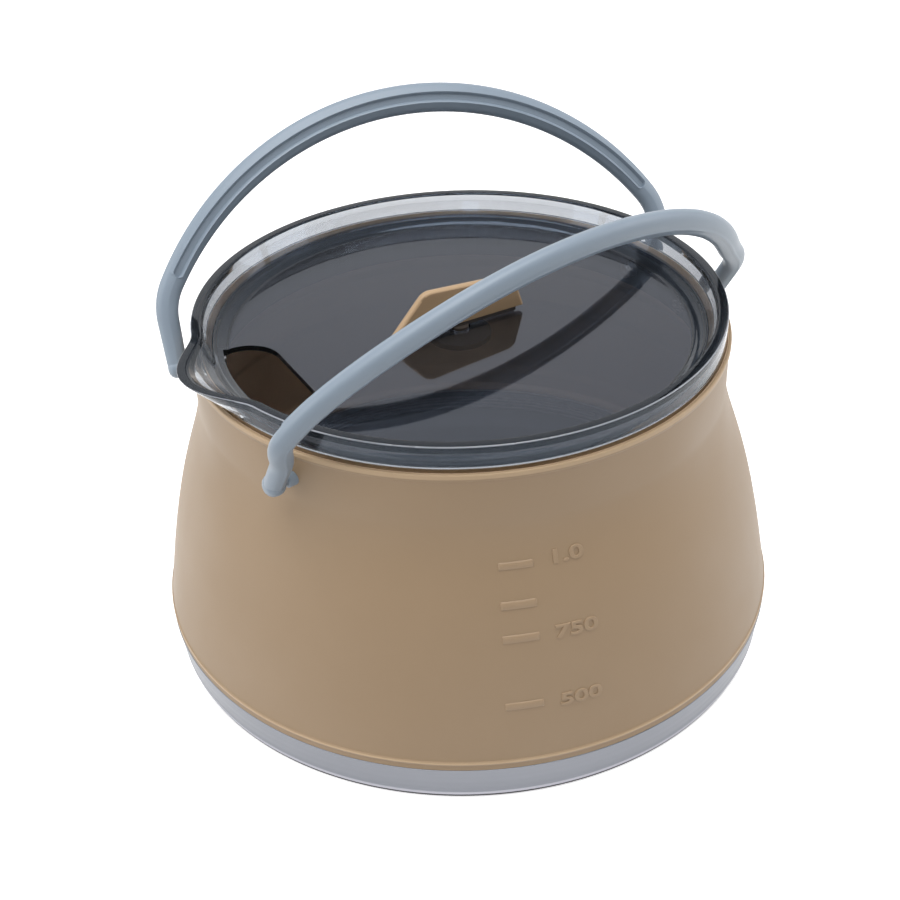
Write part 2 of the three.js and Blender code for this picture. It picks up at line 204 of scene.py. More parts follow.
def makeGrainGroup():
    inputs = [
        ("Scale", "NodeSocketFloat", 1500.0),
        ("Strength", "NodeSocketFloat", 0.1),
        ("Distance", "NodeSocketFloat", 0.0001),
    ]
    group, entry, leave = startGroup("fineGrain", inputs, [("Normal", "NodeSocketVector")])
    coord = addNode(group, "ShaderNodeTexCoord")
    noise = addNode(group, "ShaderNodeTexNoise", None, {"Detail": 3.0, "Roughness": 0.55})
    bump = addNode(group, "ShaderNodeBump")
    join(group, coord, "Object", noise, "Vector")
    join(group, entry, "Scale", noise, "Scale")
    join(group, noise, "Fac", bump, "Height")
    join(group, entry, "Strength", bump, "Strength")
    join(group, entry, "Distance", bump, "Distance")
    join(group, bump, "Normal", leave, "Normal")
    return group


def makeTurnedGroup():
    # concentric tool marks: noise over the distance from the axis and the height
    inputs = [
        ("Scale", "NodeSocketFloat", 900.0),
        ("Strength", "NodeSocketFloat", 0.1),
    ]
    outputs = [("Normal", "NodeSocketVector"), ("Lines", "NodeSocketFloat")]
    group, entry, leave = startGroup("turnedLines", inputs, outputs)
    coord = addNode(group, "ShaderNodeTexCoord")
    parts = addNode(group, "ShaderNodeSeparateXYZ")
    flat = addNode(group, "ShaderNodeCombineXYZ")
    length = addNode(group, "ShaderNodeVectorMath", {"operation": "LENGTH"})
    rings = addNode(group, "ShaderNodeCombineXYZ")
    noise = addNode(group, "ShaderNodeTexNoise", None, {"Detail": 5.0, "Roughness": 0.7})
    bump = addNode(group, "ShaderNodeBump", None, {"Distance": 0.00005})
    join(group, coord, "Object", parts, 0)
    join(group, parts, "X", flat, "X")
    join(group, parts, "Y", flat, "Y")
    join(group, flat, 0, length, 0)
    join(group, length, "Value", rings, "X")
    join(group, parts, "Z", rings, "Y")
    join(group, rings, 0, noise, "Vector")
    join(group, entry, "Scale", noise, "Scale")
    join(group, noise, "Fac", bump, "Height")
    join(group, entry, "Strength", bump, "Strength")
    join(group, bump, "Normal", leave, "Normal")
    join(group, noise, "Fac", leave, "Lines")
    return group


def makeRingTintGroup():
    # painted highlight: a lighter colour between two heights, where a moulded edge catches the light
    inputs = [
        ("Color", "NodeSocketColor", (0.5, 0.5, 0.5, 1)),
        ("Edge", "NodeSocketColor", (0.6, 0.6, 0.6, 1)),
        ("Low", "NodeSocketFloat", 0.0),
        ("High", "NodeSocketFloat", 0.01),
        ("Blur", "NodeSocketFloat", 0.0002),
    ]
    group, entry, leave = startGroup("ringPaintedHighlight", inputs, [("Color", "NodeSocketColor")])
    coord = addNode(group, "ShaderNodeTexCoord")
    parts = addNode(group, "ShaderNodeSeparateXYZ")
    masks = []
    for order in ("Low", "High"):
        distance = addNode(group, "ShaderNodeMath", {"operation": "SUBTRACT"})
        slope = addNode(group, "ShaderNodeMath", {"operation": "DIVIDE", "use_clamp": True})
        if order == "Low":
            join(group, parts, "Z", distance, 0)
            join(group, entry, "Low", distance, 1)
        else:
            join(group, entry, "High", distance, 0)
            join(group, parts, "Z", distance, 1)
        join(group, distance, 0, slope, 0)
        join(group, entry, "Blur", slope, 1)
        masks.append(slope)
    both = addNode(group, "ShaderNodeMath", {"operation": "MULTIPLY"})
    mix = addNode(group, "ShaderNodeMix", {"data_type": "RGBA"})
    join(group, coord, "Object", parts, 0)
    join(group, masks[0], 0, both, 0)
    join(group, masks[1], 0, both, 1)
    join(group, both, 0, mix, "Factor")
    join(group, entry, "Color", mix, "A")
    join(group, entry, "Edge", mix, "B")
    join(group, mix, "Result", leave, "Color")
    return group


mottleGroup = makeMottleGroup()
ringHighlightGroup = makeRingTintGroup()
grainGroup = makeGrainGroup()
turnedGroup = makeTurnedGroup()


def startMaterial(name, values):
    material = bpy.data.materials.new(name)
    material.use_nodes = True
    shader = material.node_tree.nodes["Principled BSDF"]
    for key, value in values.items():
        shader.inputs[key].default_value = value
    return material, material.node_tree, shader


def placeGroup(tree, group, values):
    return addNode(tree, "ShaderNodeGroup", {"node_tree": group}, values)


def placeMottle(tree, look):
    return placeGroup(tree, mottleGroup, {
        "Color": look["color"], "Tint": look["tint"], "Scale": look["mottleScale"], "Amount": look["mottle"],
    })


def linkRoughness(tree, shader, source, look, low=0.3, high=0.7):
    # values of the source between low and high give the look's range of roughness
    spread = addNode(tree, "ShaderNodeMapRange", None, {
        "From Min": low, "From Max": high, "To Min": look["roughLow"], "To Max": look["roughHigh"],
    })
    tree.links.new(source, spread.inputs["Value"])
    join(tree, spread, "Result", shader, "Roughness")


def addSmears(tree, look):
    coord = addNode(tree, "ShaderNodeTexCoord")
    noise = addNode(tree, "ShaderNodeTexNoise", None, {"Scale": look["smearScale"], "Detail": 3.0})
    join(tree, coord, "Object", noise, "Vector")
    return noise.outputs["Fac"]


def makeSoftMaterial(name, look):
    # silicone and moulded plastic: mottled colour, uneven roughness, fine grain
    material, tree, shader = startMaterial(name, look["shader"])
    mottle = placeMottle(tree, look)
    grain = placeGroup(tree, grainGroup, {"Scale": look["grainScale"], "Strength": look["grain"]})
    paintRingHighlights(tree, mottle.outputs["Color"], shader.inputs["Base Color"], look)
    join(tree, grain, "Normal", shader, "Normal")
    linkRoughness(tree, shader, addSmears(tree, look), look)
    return material


def paintRingHighlights(tree, source, target, look):
    # each ring of the look is a painted highlight band laid over the colour
    for low, high, highlightColor in look.get("rings", []):
        ring = placeGroup(tree, ringHighlightGroup, {
            "Edge": highlightColor, "Low": low * toMetres, "High": high * toMetres, "Blur": look["ringBlur"],
        })
        tree.links.new(source, ring.inputs["Color"])
        source = ring.outputs["Color"]
    tree.links.new(source, target)


def makeMetalMaterial(name, look):
    material, tree, shader = startMaterial(name, look["shader"])
    turned = placeGroup(tree, turnedGroup, {"Scale": look["lineScale"], "Strength": look["lines"]})
    mottle = placeMottle(tree, look)
    paintRingHighlights(tree, mottle.outputs["Color"], shader.inputs["Base Color"], look)
    join(tree, turned, "Normal", shader, "Normal")
    linkRoughness(tree, shader, turned.outputs["Lines"], look)
    return material


siliconeLook = {
    "color": (0.31, 0.215, 0.128, 1), "tint": (0.268, 0.182, 0.103, 1), "mottleScale": 45.0, "mottle": 0.5,
    "grainScale": 2600.0, "grain": 0.25, "smearScale": 30.0, "roughLow": 0.42, "roughHigh": 0.55,
    # rings: painted highlights, lighter bands where the light catches the wall's foot line and the neck's
    # bead
    "rings": [(11.9, 12.75, (0.52, 0.37, 0.23, 1)), (83.4, 84.9, (0.43, 0.305, 0.185, 1))],
    "ringBlur": 0.00035,
    "shader": {"Sheen Weight": 0.1, "Sheen Roughness": 0.4, "Specular IOR Level": 0.45},
}
# the raised marks are slightly lighter than the wall: a painted highlight on their lit faces
markHighlightLook = dict(siliconeLook, color=(0.33, 0.23, 0.14, 1), tint=(0.285, 0.195, 0.114, 1), rings=[])
# the knob is one silicone in a lit and a shaded copy: a lighter painted highlight colour on its edges and
# stem, a darker painted shade on the blade's flat faces
knobLitLook = dict(siliconeLook, color=(0.42, 0.285, 0.165, 1), tint=(0.38, 0.25, 0.14, 1), rings=[])
# much lighter than the wall's silicone: painted light on the inside of the wall, where little light reaches
# through the lid
innerLitLook = dict(siliconeLook, color=(0.68, 0.49, 0.33, 1), tint=(0.6, 0.42, 0.27, 1), rings=[])
knobShadedFaceLook = dict(siliconeLook, color=(0.29, 0.195, 0.11, 1), tint=(0.26, 0.17, 0.092, 1), rings=[])
# near black: painted shade in the gap under the knob's blade
knobFootShadeLook = dict(siliconeLook, color=(0.035, 0.027, 0.021, 1), tint=(0.028, 0.022, 0.018, 1), rings=[])
nylonLook = {
    "color": (0.24, 0.292, 0.353, 1), "tint": (0.203, 0.25, 0.305, 1), "mottleScale": 55.0, "mottle": 0.5,
    "grainScale": 3200.0, "grain": 0.2, "smearScale": 60.0, "roughLow": 0.3, "roughHigh": 0.4,
    "shader": {"Specular IOR Level": 0.35},
}
collarLook = {
    "color": (0.05, 0.052, 0.058, 1), "tint": (0.035, 0.036, 0.04, 1), "mottleScale": 80.0, "mottle": 0.5,
    "grainScale": 3000.0, "grain": 0.3, "smearScale": 60.0, "roughLow": 0.45, "roughHigh": 0.6,
    "shader": {"Specular IOR Level": 0.5},
}
aluminiumLook = {
    "color": (0.218, 0.226, 0.249, 1), "tint": (0.173, 0.182, 0.207, 1), "mottleScale": 40.0, "mottle": 0.4,
    # ring: a painted highlight, a lighter band on the rounded lip of the pan's foot
    "rings": [(0.8, 2.1, (0.38, 0.38, 0.42, 1))], "ringBlur": 0.0003,
    "lineScale": 2600.0, "lines": 0.25, "roughLow": 0.3, "roughHigh": 0.42,
    "shader": {"Metallic": 1.0},
}
# a darker copy of the aluminium inside the pan: painted shade, with a rougher finish
insideShadeLook = dict(
    aluminiumLook, color=(0.1, 0.1, 0.11, 1), tint=(0.075, 0.075, 0.085, 1), rings=[],
    roughLow=0.5, roughHigh=0.65,
)
# near black: painted shade along the bottom edge of the pan's foot
footShadeLook = {
    "color": (0.1, 0.097, 0.11, 1), "tint": (0.07, 0.068, 0.075, 1), "mottleScale": 120.0, "mottle": 0.8,
    "grainScale": 2500.0, "grain": 0.3, "smearScale": 80.0, "roughLow": 0.6, "roughHigh": 0.8,
    "shader": {"Specular IOR Level": 0.2},
}
steelLook = {
    "color": (0.6, 0.6, 0.62, 1), "tint": (0.5, 0.5, 0.52, 1), "mottleScale": 70.0, "mottle": 0.4,
    "lineScale": 3000.0, "lines": 0.2, "roughLow": 0.2, "roughHigh": 0.32,
    "shader": {"Metallic": 1.0},
}
lidLook = {
    # the bluish Specular Tint colours the lid's reflections: a painted reflection tint
    "shader": {
        "Base Color": (0.95, 0.955, 0.965, 1), "IOR": 1.42, "Transmission Weight": 0.99,
        "Specular IOR Level": 0.5, "Specular Tint": (0.64, 0.79, 1.0, 1),
    },
    "smokeColor": (0.2, 0.235, 0.285, 1), "smokeDensity": 330.0,
    "grainScale": 60.0, "grain": 0.004, "smearScale": 25.0, "roughLow": 0.01, "roughHigh": 0.05,
}
# a whiter, rougher copy of the lid plastic on the rim's top outer edge: a painted highlight line
edgeHighlightLook = dict(lidLook, shader={
    "Base Color": (0.38, 0.4, 0.45, 1), "IOR": 1.46, "Transmission Weight": 0.35, "Specular IOR Level": 0.6,
}, roughLow=0.25, roughHigh=0.4)
# darker copies of the lid plastic for the rim's top and the disc: painted shade; the rim also reflects less,
# and their bluish Specular Tint is a painted reflection tint
rimShadeLook = dict(lidLook, shader=dict(lidLook["shader"], **{
    "Base Color": (0.5, 0.54, 0.62, 1), "Specular IOR Level": 0.15, "Specular Tint": (0.6, 0.75, 1.0, 1),
}))
discShadeLook = dict(lidLook, shader=dict(lidLook["shader"], **{
    "Base Color": (0.47, 0.49, 0.54, 1), "IOR": 1.52, "Specular Tint": (0.6, 0.72, 1.0, 1),
}), roughHigh=0.035)


def makeLidMaterial(name, look):
    # smoky clear plastic, with faint waves and finger marks
    material, tree, shader = startMaterial(name, look["shader"])
    grain = placeGroup(tree, grainGroup, {"Scale": look["grainScale"], "Strength": look["grain"]})
    join(tree, grain, "Normal", shader, "Normal")
    linkRoughness(tree, shader, addSmears(tree, look), look, 0.35, 0.75)
    smoke = addNode(tree, "ShaderNodeVolumeAbsorption", None, {
        "Color": look["smokeColor"], "Density": look["smokeDensity"],
    })
    tree.links.new(smoke.outputs["Volume"], tree.nodes["Material Output"].inputs["Volume"])
    return material


silicone = makeSoftMaterial("tanSilicone", siliconeLook)
innerLitSilicone = makeSoftMaterial("innerLitSilicone", innerLitLook)
knobShadedFace = makeSoftMaterial("knobShadedFaceSilicone", knobShadedFaceLook)
knobFootShade = makeSoftMaterial("knobFootPaintedShade", knobFootShadeLook)
markHighlightSilicone = makeSoftMaterial("raisedMarkPaintedHighlight", markHighlightLook)
knobLitSilicone = makeSoftMaterial("knobLitSilicone", knobLitLook)
nylon = makeSoftMaterial("greyBlueNylon", nylonLook)
collarPlastic = makeSoftMaterial("darkCollarPlastic", collarLook)
aluminium = makeMetalMaterial("satinAluminium", aluminiumLook)
insideShadedAluminium = makeMetalMaterial("insideAluminiumPaintedShade", insideShadeLook)
footPaintedShade = makeSoftMaterial("footContactShade", footShadeLook)
steel = makeMetalMaterial("turnedSteel", steelLook)
lidPlastic = makeLidMaterial("smokyLidPlastic", lidLook)
lidEdgeHighlight = makeLidMaterial("lidEdgePaintedHighlight", edgeHighlightLook)
lidRimShade = makeLidMaterial("lidRimPaintedShade", rimShadeLook)
lidDiscShade = makeLidMaterial("lidDiscPaintedShade", discShadeLook)
print("stage: materials made")

# the pan
pan = {
    "rimRadius": 81.5, "footRadius": 80.0, "height": 10.2, "shadedFootTop": 0.85, "beadTop": 2.1,
    "floor": 2.2, "wall": 1.6, "lipOuter": 79.3, "lipInner": 78.1, "lipTop": 15.2, "shoulderDrop": 3.2,
}


def buildPan():
    slope = (pan["rimRadius"] - pan["footRadius"]) / pan["height"]
    beadRadius = pan["footRadius"] + slope * pan["beadTop"]
    outer = filletPath([
        (0, 0, 0),
        (pan["footRadius"] - 0.6, 0, 0.3),
        (pan["footRadius"] - 0.05, 0.3, 0.2),
        (pan["footRadius"] - 0.05, pan["shadedFootTop"], 0.1),
        (beadRadius, pan["shadedFootTop"] + 0.3, 0.3),
        (beadRadius, pan["beadTop"], 0.4),
        (beadRadius + 0.02, pan["beadTop"] + 0.8, 0.4),
        (pan["rimRadius"] - 0.05, pan["height"] - 0.1, 0.3),
        (pan["lipOuter"], pan["height"] - 0.05, 0.2),
        (pan["lipOuter"], pan["lipTop"], 0.3),
        (pan["lipInner"], pan["lipTop"], 0.3),
        (pan["lipInner"], pan["height"] - 1.4, 0.3),
        (pan["rimRadius"] - pan["wall"] - 0.6, pan["height"] - pan["shoulderDrop"], 0.5),
        (pan["footRadius"] - pan["wall"] - 0.4, pan["floor"] + 2.2, 1.6),
        (pan["footRadius"] - pan["wall"] - 3.0, pan["floor"], 1.6),
        (0, pan["floor"], 0),
    ])
    verts, faces = revolve(outer)
    piece = makeObject("panBody", verts, faces, "base", aluminium, 30)
    piece.data.materials.append(insideShadedAluminium)
    piece.data.materials.append(footPaintedShade)
    inside = (pan["rimRadius"] - pan["wall"] + 0.3) * toMetres
    # faces inside the pan get the painted shade, faces of the foot below shadedFootTop the near-black
    # painted shade
    for face in piece.data.polygons:
        if face.center.xy.length < inside and face.center.z > (pan["floor"] - 0.2) * toMetres:
            face.material_index = 1
        elif face.center.z < pan["shadedFootTop"] * toMetres:
            face.material_index = 2
    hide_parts("base_pan")


buildPan()
print("stage: pan made")

# the silicone wall, one skin from the pan to the rim
wall = {
    "footRadius": 81.5, "footZ": 10.25, "bandTop": 12.7, "bandProud": 0.4, "lineWidth": 0.9,
    "footProud": 0.22, "neckRadius": 67.15, "neckFootZ": 70.2, "rimZ": 85.5,
    "thickness": 2.4, "foldThickness": 1.5, "foldEase": 3.0, "neckThickness": 2.2,
    "footTaper": 0.152, "neckTaper": 0.147, "footPull": 0.727, "neckPull": 0.238,
    "beadRadius": 67.6, "beadFootZ": 82.7, "beadTopZ": 84.75,
    "seatWidth": 0.85, "grooveWidth": 0.75, "grooveZ": 83.6,
    "foldFootZ": 26.0, "foldTopZ": 52.0, "ledgeZ": 71.8, "ledgeRadius": 63.3, "ledgeHeight": 1.6,
    "innerFootZ": 18.0, "gripInner": 76.35, "gripInnerTop": 17.3, "gripFootZ": 10.3,
    "lipInner": 77.75, "lipOuter": 79.65, "lipTop": 15.55, "hair": 0.02, "ringStep": 0.55,
}


def wallPoint(t):
    # (radius, height) of the outer face at a share of its curve
    rise = wall["neckFootZ"] - wall["footZ"]
    footR, footZ, neckR, neckZ = (wall[k] for k in ("footRadius", "footZ", "neckRadius", "neckFootZ"))
    controls = [
        (footR, footZ),
        (footR - wall["footTaper"] * wall["footPull"] * rise, footZ + wall["footPull"] * rise),
        (neckR + wall["neckTaper"] * wall["neckPull"] * rise, neckZ - wall["neckPull"] * rise),
        (neckR, neckZ),
    ]
    weights = [(1 - t) ** 3, 3 * (1 - t) ** 2 * t, 3 * (1 - t) * t * t, t ** 3]
    return tuple(sum(w * c[axis] for w, c in zip(weights, controls)) for axis in (0, 1))


def wallRadius(z):
    # radius of the outer face at a height, by halving
    if z >= wall["neckFootZ"]:
        return wall["neckRadius"]
    low, high = 0.0, 1.0
    for _ in range(40):
        middle = (low + high) / 2
        if wallPoint(middle)[1] < z:
            low = middle
        else:
            high = middle
    return wallPoint(low)[0]


def buildWall():
    hair = wall["hair"]
    bandRadius = wall["footRadius"] - wall["bandProud"]
    lineFoot = wall["bandTop"] - wall["lineWidth"]
    neckInner = wall["neckRadius"] - wall["neckThickness"]
    seatOuter = neckInner + wall["seatWidth"]
    outer = filletPath([
        (wall["footRadius"] - wall["footProud"], wall["footZ"] - hair, 0),
        (bandRadius + 0.05, lineFoot - 0.2, 0.2),
        (wall["footRadius"] - hair, lineFoot + 0.1, 0.25),
        (wall["footRadius"] - hair, wall["bandTop"] - 0.1, 0.25),
        (bandRadius, wall["bandTop"] + 0.15, 0.2),
        (bandRadius - hair, wall["bandTop"] + 0.4, 0),
    ], 3)
    z = wall["bandTop"] + 0.6
    while z < wall["neckFootZ"] - 0.3:
        outer.append((min(wallRadius(z), bandRadius - hair), z))
        z += wall["ringStep"]
    neck = filletPath([
        outer[-1] + (0,),
        (wall["neckRadius"], wall["neckFootZ"] + 0.4, 0.6),
        (wall["neckRadius"], wall["beadFootZ"], 0.5),
        (wall["beadRadius"], wall["beadFootZ"] + 0.6, 0.4),
        (wall["beadRadius"], wall["beadTopZ"], 0.45),
        (seatOuter + wall["grooveWidth"], wall["beadTopZ"], 0.25),
        (seatOuter + wall["grooveWidth"], wall["grooveZ"], 0.15),
        (seatOuter, wall["grooveZ"], 0.15),
        (seatOuter, wall["rimZ"] - hair, 0.2),
        (neckInner, wall["rimZ"] - hair, 0.2),
        (neckInner, wall["ledgeZ"], 0.2),
        (wall["ledgeRadius"], wall["ledgeZ"], 0.3),
        (wall["ledgeRadius"], wall["ledgeZ"] - wall["ledgeHeight"], 0.3),
        (wall["neckRadius"] - wall["thickness"] - 0.4, wall["neckFootZ"] - 2.5, 0),
    ])
    inner = []
    z = wall["neckFootZ"] - 3.0
    while z > wall["innerFootZ"]:
        # the wall thins just outside each end of the fold
        reach = min(z - wall["foldFootZ"] + wall["foldEase"], wall["foldTopZ"] + wall["foldEase"] - z)
        inFold = min(1.0, max(0.0, reach / wall["foldEase"]))
        thickness = wall["thickness"] + (wall["foldThickness"] - wall["thickness"]) * inFold
        inner.append((wallRadius(z) - thickness, z))
        z -= wall["ringStep"]
    foot = filletPath([
        inner[-1] + (0,),
        (wall["gripInner"], wall["gripInnerTop"], 0.8),
        (wall["gripInner"], wall["gripFootZ"], 0.4),
        (wall["lipInner"], wall["gripFootZ"], 0.4),
        (wall["lipInner"], wall["lipTop"], 0.3),
        (wall["lipOuter"], wall["lipTop"], 0.3),
        (wall["lipOuter"], wall["footZ"], 0.2),
        (bandRadius - 0.2, wall["footZ"] - hair, 0),
    ])
    profile = outer[:-1] + neck + inner[:-1] + foot
    verts, faces = revolve(profile)
    piece = makeObject("siliconeWall", verts, faces, None, silicone, 50)
    piece.data.materials.append(innerLitSilicone)
    # faces turned toward the axis get the lighter painted light colour
    for face in piece.data.polygons:
        if face.normal.xy.dot(face.center.xy) < 0:
            face.material_index = 1
    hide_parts("lower_wall", "fold_wall", "upper_wall")
    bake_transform(piece)


buildWall()
print("stage: wall made")

# raised marks for the volume
marks = {
    "proud": 0.28, "sunk": 0.25, "numberStretch": 1.65, "numberBold": 0.03, "numberBevel": 0.1,
    "dashStart": -113.0, "dashEnd": -106.4, "dashRamp": 0.15, "dashEndShare": 0.86,
    "dashFlat": 0.55, "dashShoulder": 0.9, "dashSteps": 12,
    "numberStart": -103.6, "letterHeight": 3.1, "fontShare": 1.38,
    "rows": [
        {"low": 59.9, "high": 61.7, "text": "1.0", "textLow": 59.9},
        {"low": 50.9, "high": 52.9, "text": "", "textLow": 0},
        {"low": 43.0, "high": 45.0, "text": "750", "textLow": 42.6},
        {"low": 26.1, "high": 28.1, "text": "500", "textLow": 25.4},
    ],
}


def wrapOnWall(verts, startAngle, lowZ):
    # x runs round the wall, y up it, z out of it
    wrapped = []
    for x, y, out in verts:
        z = lowZ + y
        r = wallRadius(z) + out
        angle = math.radians(startAngle) + x / wallRadius(lowZ)
        wrapped.append((r * math.cos(angle), r * math.sin(angle), z))
    return wrapped


def dashMesh(length, height):
    # a pillow-edged bar with steps along it, so that it follows the wall
    half, proud, sunk = height / 2, marks["proud"], marks["sunk"]
    flat, shoulder = half * marks["dashFlat"], half * marks["dashShoulder"]
    section = [
        (-half, -sunk), (-shoulder, proud * 0.5), (-flat, proud),
        (flat, proud), (shoulder, proud * 0.5), (half, -sunk),
    ]
    ramp, steps = marks["dashRamp"], marks["dashSteps"]
    places = [0.0, ramp] + [length * n / steps for n in range(1, steps)] + [length - ramp, length]
    verts, faces = [], []
    for index, x in enumerate(places):
        isEnd = index in (0, len(places) - 1)
        for y, out in section:
            narrowed = half + y * (marks["dashEndShare"] if isEnd else 1)
            verts.append((x, narrowed, out * (0.5 if isEnd and out > 0 else 1)))
    addLoft(faces, 0, len(places), len(section), True)
    return verts, faces


def textMesh(text, height):
    curve = bpy.data.curves.new("markText", "FONT")
    curve.body = text
    curve.size = height * marks["fontShare"]
    curve.extrude = (marks["proud"] + marks["sunk"]) / 2 - marks["numberBevel"]
    curve.bevel_depth = marks["numberBevel"]
    curve.bevel_resolution = 1
    curve.offset = marks["numberBold"]
    curve.resolution_u = 5
    holder = bpy.data.objects.new("markText", curve)
    bpy.context.scene.collection.objects.link(holder)
    bpy.context.view_layer.update()
    graph = bpy.context.evaluated_depsgraph_get()
    mesh = bpy.data.meshes.new_from_object(holder.evaluated_get(graph))
    middle = (marks["proud"] - marks["sunk"]) / 2
    verts = [(v.co.x * marks["numberStretch"], v.co.y, v.co.z + middle) for v in mesh.vertices]
    faces = [list(p.vertices) for p in mesh.polygons]
    bpy.data.objects.remove(holder)
    bpy.data.curves.remove(curve)
    bpy.data.meshes.remove(mesh)
    return verts, faces


def buildMarks():
    for number, row in enumerate(marks["rows"]):
        turn = math.radians(marks["dashEnd"] - marks["dashStart"])
        verts, faces = dashMesh(turn * wallRadius(row["low"]), row["high"] - row["low"])
        dash = makeObject(
            f"volumeDash{number + 1}",
            wrapOnWall(verts, marks["dashStart"], row["low"]), faces, None, markHighlightSilicone, 60,
        )
        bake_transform(dash)
        if row["text"]:
            verts, faces = textMesh(row["text"], marks["letterHeight"])
            words = makeObject(
                f"volumeNumber{number + 1}",
                wrapOnWall(verts, marks["numberStart"], row["textLow"]), faces, None, markHighlightSilicone, 40,
            )
            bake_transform(words)


buildMarks()
print("stage: volume marks made")

# handles and their pivots
bail = {
    "pivotRadius": 71.5, "spoutAngle": 25.0, "rearAngle": 8.5, "pivotZ": 77.0, "rise": 56.2, "leg": 12.0,
    "crownRadius": 79.0, "crownWidth": 7.5, "legWidth": 5.0, "thickness": 5.0, "squareness": 2.0,
    "grooveWidth": 2.2, "grooveDepth": 0.8, "grooveEndAngle": 36.0, "ridge": 0.12,
    "sectionStart": -62, "sectionTurn": 304,
    # (place across, share of the rise or depth) of the corners of the ridge and of the groove
    "ridgeCorners": ((0.34, 0.1), (0.22, 0.9), (-0.22, 0.9), (-0.34, 0.1)),
    "grooveCorners": ((1.25, 0), (1.05, 0.1), (0.65, 1), (0.25, 1)), "closedGroove": 0.02,
    "headRadius": 2.7, "headRound": 2.1,
    "bossRadius": 2.0, "bossInner": 57.9, "bossGap": 0.3, "bossEdge": 0.3,
    "lean": {"left": 30.5, "right": 21.0}, "droop": 0.5,
    "sway": {"left": -2.4, "right": 0.0}, "square": {"left": 4.0, "right": 0.0},
    "swayStart": 8.5, "swayRise": 13.0, "lidClear": 14.0,
}
chordTilt = math.radians((bail["spoutAngle"] - bail["rearAngle"]) / 2)
chordSpread = math.radians((bail["spoutAngle"] + bail["rearAngle"]) / 2)
pivotOffset = bail["pivotRadius"] * math.sin(chordSpread)
halfChord = bail["pivotRadius"] * math.cos(chordSpread)
bendStep = 0.01  # how far apart two points are compared to find the lean of the flexed centre line
beforeGroove = -9.0  # any distance below zero stands for no groove
legSteps, shoulderSteps, crownSteps = 6, 14, 40


def sidePlace(point, side, lean):
    # x out from the kettle, y along the pivot line, z up the plane of the handle
    x, y, z = point
    angle = math.radians(lean)
    turn = side * (math.pi / 2 - chordTilt)
    outward = pivotOffset + x * math.cos(angle) + z * math.sin(angle)
    up = bail["pivotZ"] - x * math.sin(angle) + z * math.cos(angle)
    return (
        outward * math.cos(turn) - y * math.sin(turn),
        outward * math.sin(turn) + y * math.cos(turn),
        up,
    )


def bailStations():
    # (along the chord, up, outward normal, distance into the groove) from one foot to the other
    crown = bail["crownRadius"]
    crownCentre = bail["rise"] - crown
    shoulderRise = bail["leg"] - crownCentre
    shoulder = (crown ** 2 - halfChord ** 2 - shoulderRise ** 2) / (2 * (crown - halfChord))
    crownStart = math.atan2(shoulderRise, halfChord - shoulder)
    grooveStart = math.radians(bail["grooveEndAngle"])
    half = []
    for step in range(legSteps):
        half.append((halfChord, bail["leg"] * step / legSteps, 1.0, 0.0, beforeGroove))
    for step in range(shoulderSteps):
        angle = crownStart * step / shoulderSteps
        half.append((
            halfChord - shoulder + shoulder * math.cos(angle), bail["leg"] + shoulder * math.sin(angle),
            math.cos(angle), math.sin(angle), beforeGroove,
        ))
    angles = [crownStart + (math.pi / 2 - crownStart) * n / crownSteps for n in range(crownSteps + 1)]
    capSteps = [0.0, 0.04, 0.15, 0.35, 0.65, 1.0]
    angles += [grooveStart + (share - 1) * bail["grooveWidth"] / 2 / crown for share in capSteps]
    for angle in sorted(set(angles)):
        inside = (angle - grooveStart) * crown + bail["grooveWidth"] / 2
        half.append((
            crown * math.cos(angle), crownCentre + crown * math.sin(angle),
            math.cos(angle), math.sin(angle), inside,
        ))
    mirrored = [(-s, h, -n, m, g) for s, h, n, m, g in half[:-1]]
    return half + mirrored[::-1]


def bailSection(halfWidth, halfThickness, inside):
    # (in the plane, across it) round the section, with the groove on the inner face
    ring = []
    for step in range(21):
        if step == 10:
            for across, rise in bail["ridgeCorners"]:
                ring.append((across, halfThickness - bail["ridge"] * (1 - rise)))
            continue
        angle = math.radians(bail["sectionStart"] + bail["sectionTurn"] * step / 20)
        c, s = math.cos(angle), math.sin(angle)
        power = 2 / bail["squareness"]
        outer = halfThickness - (bail["ridge"] if s > 0 else 0)
        across = halfWidth * math.copysign(abs(c) ** power, c)
        ring.append((across, outer * math.copysign(abs(s) ** power, s)))
    reach = bail["grooveWidth"] / 2
    depth = bail["grooveDepth"] if inside > 0 else 0.0
    if inside <= 0:
        spread = bail["closedGroove"]
    elif inside < reach:
        spread = max(math.sqrt(1 - ((reach - inside) / reach) ** 2), bail["closedGroove"])
    else:
        spread = 1.0
    corners = bail["grooveCorners"]
    for across, sink in [(-across, sink) for across, sink in corners] + list(corners[::-1]):
        ring.append((across * reach * spread, -halfThickness + depth * sink))
    return ring


def flexShift(name, s, h):
    # the near handle sways along its pivot line: one shoulder squares up,
    # and the other leg stays still beside the lid
    sway = bail["sway"][name]
    outward = sway * s > 0
    level = max(0, h - (bail["swayStart"] if outward else bail["lidClear"]))
    share = min(1, level / bail["swayRise"])
    shift = sway * share * share * (3 - 2 * share)
    if outward:
        bulge = math.sin(math.pi * level / (bail["rise"] - bail["swayStart"])) ** 2
        shift += bail["square"][name] * bulge * s / halfChord
    return shift


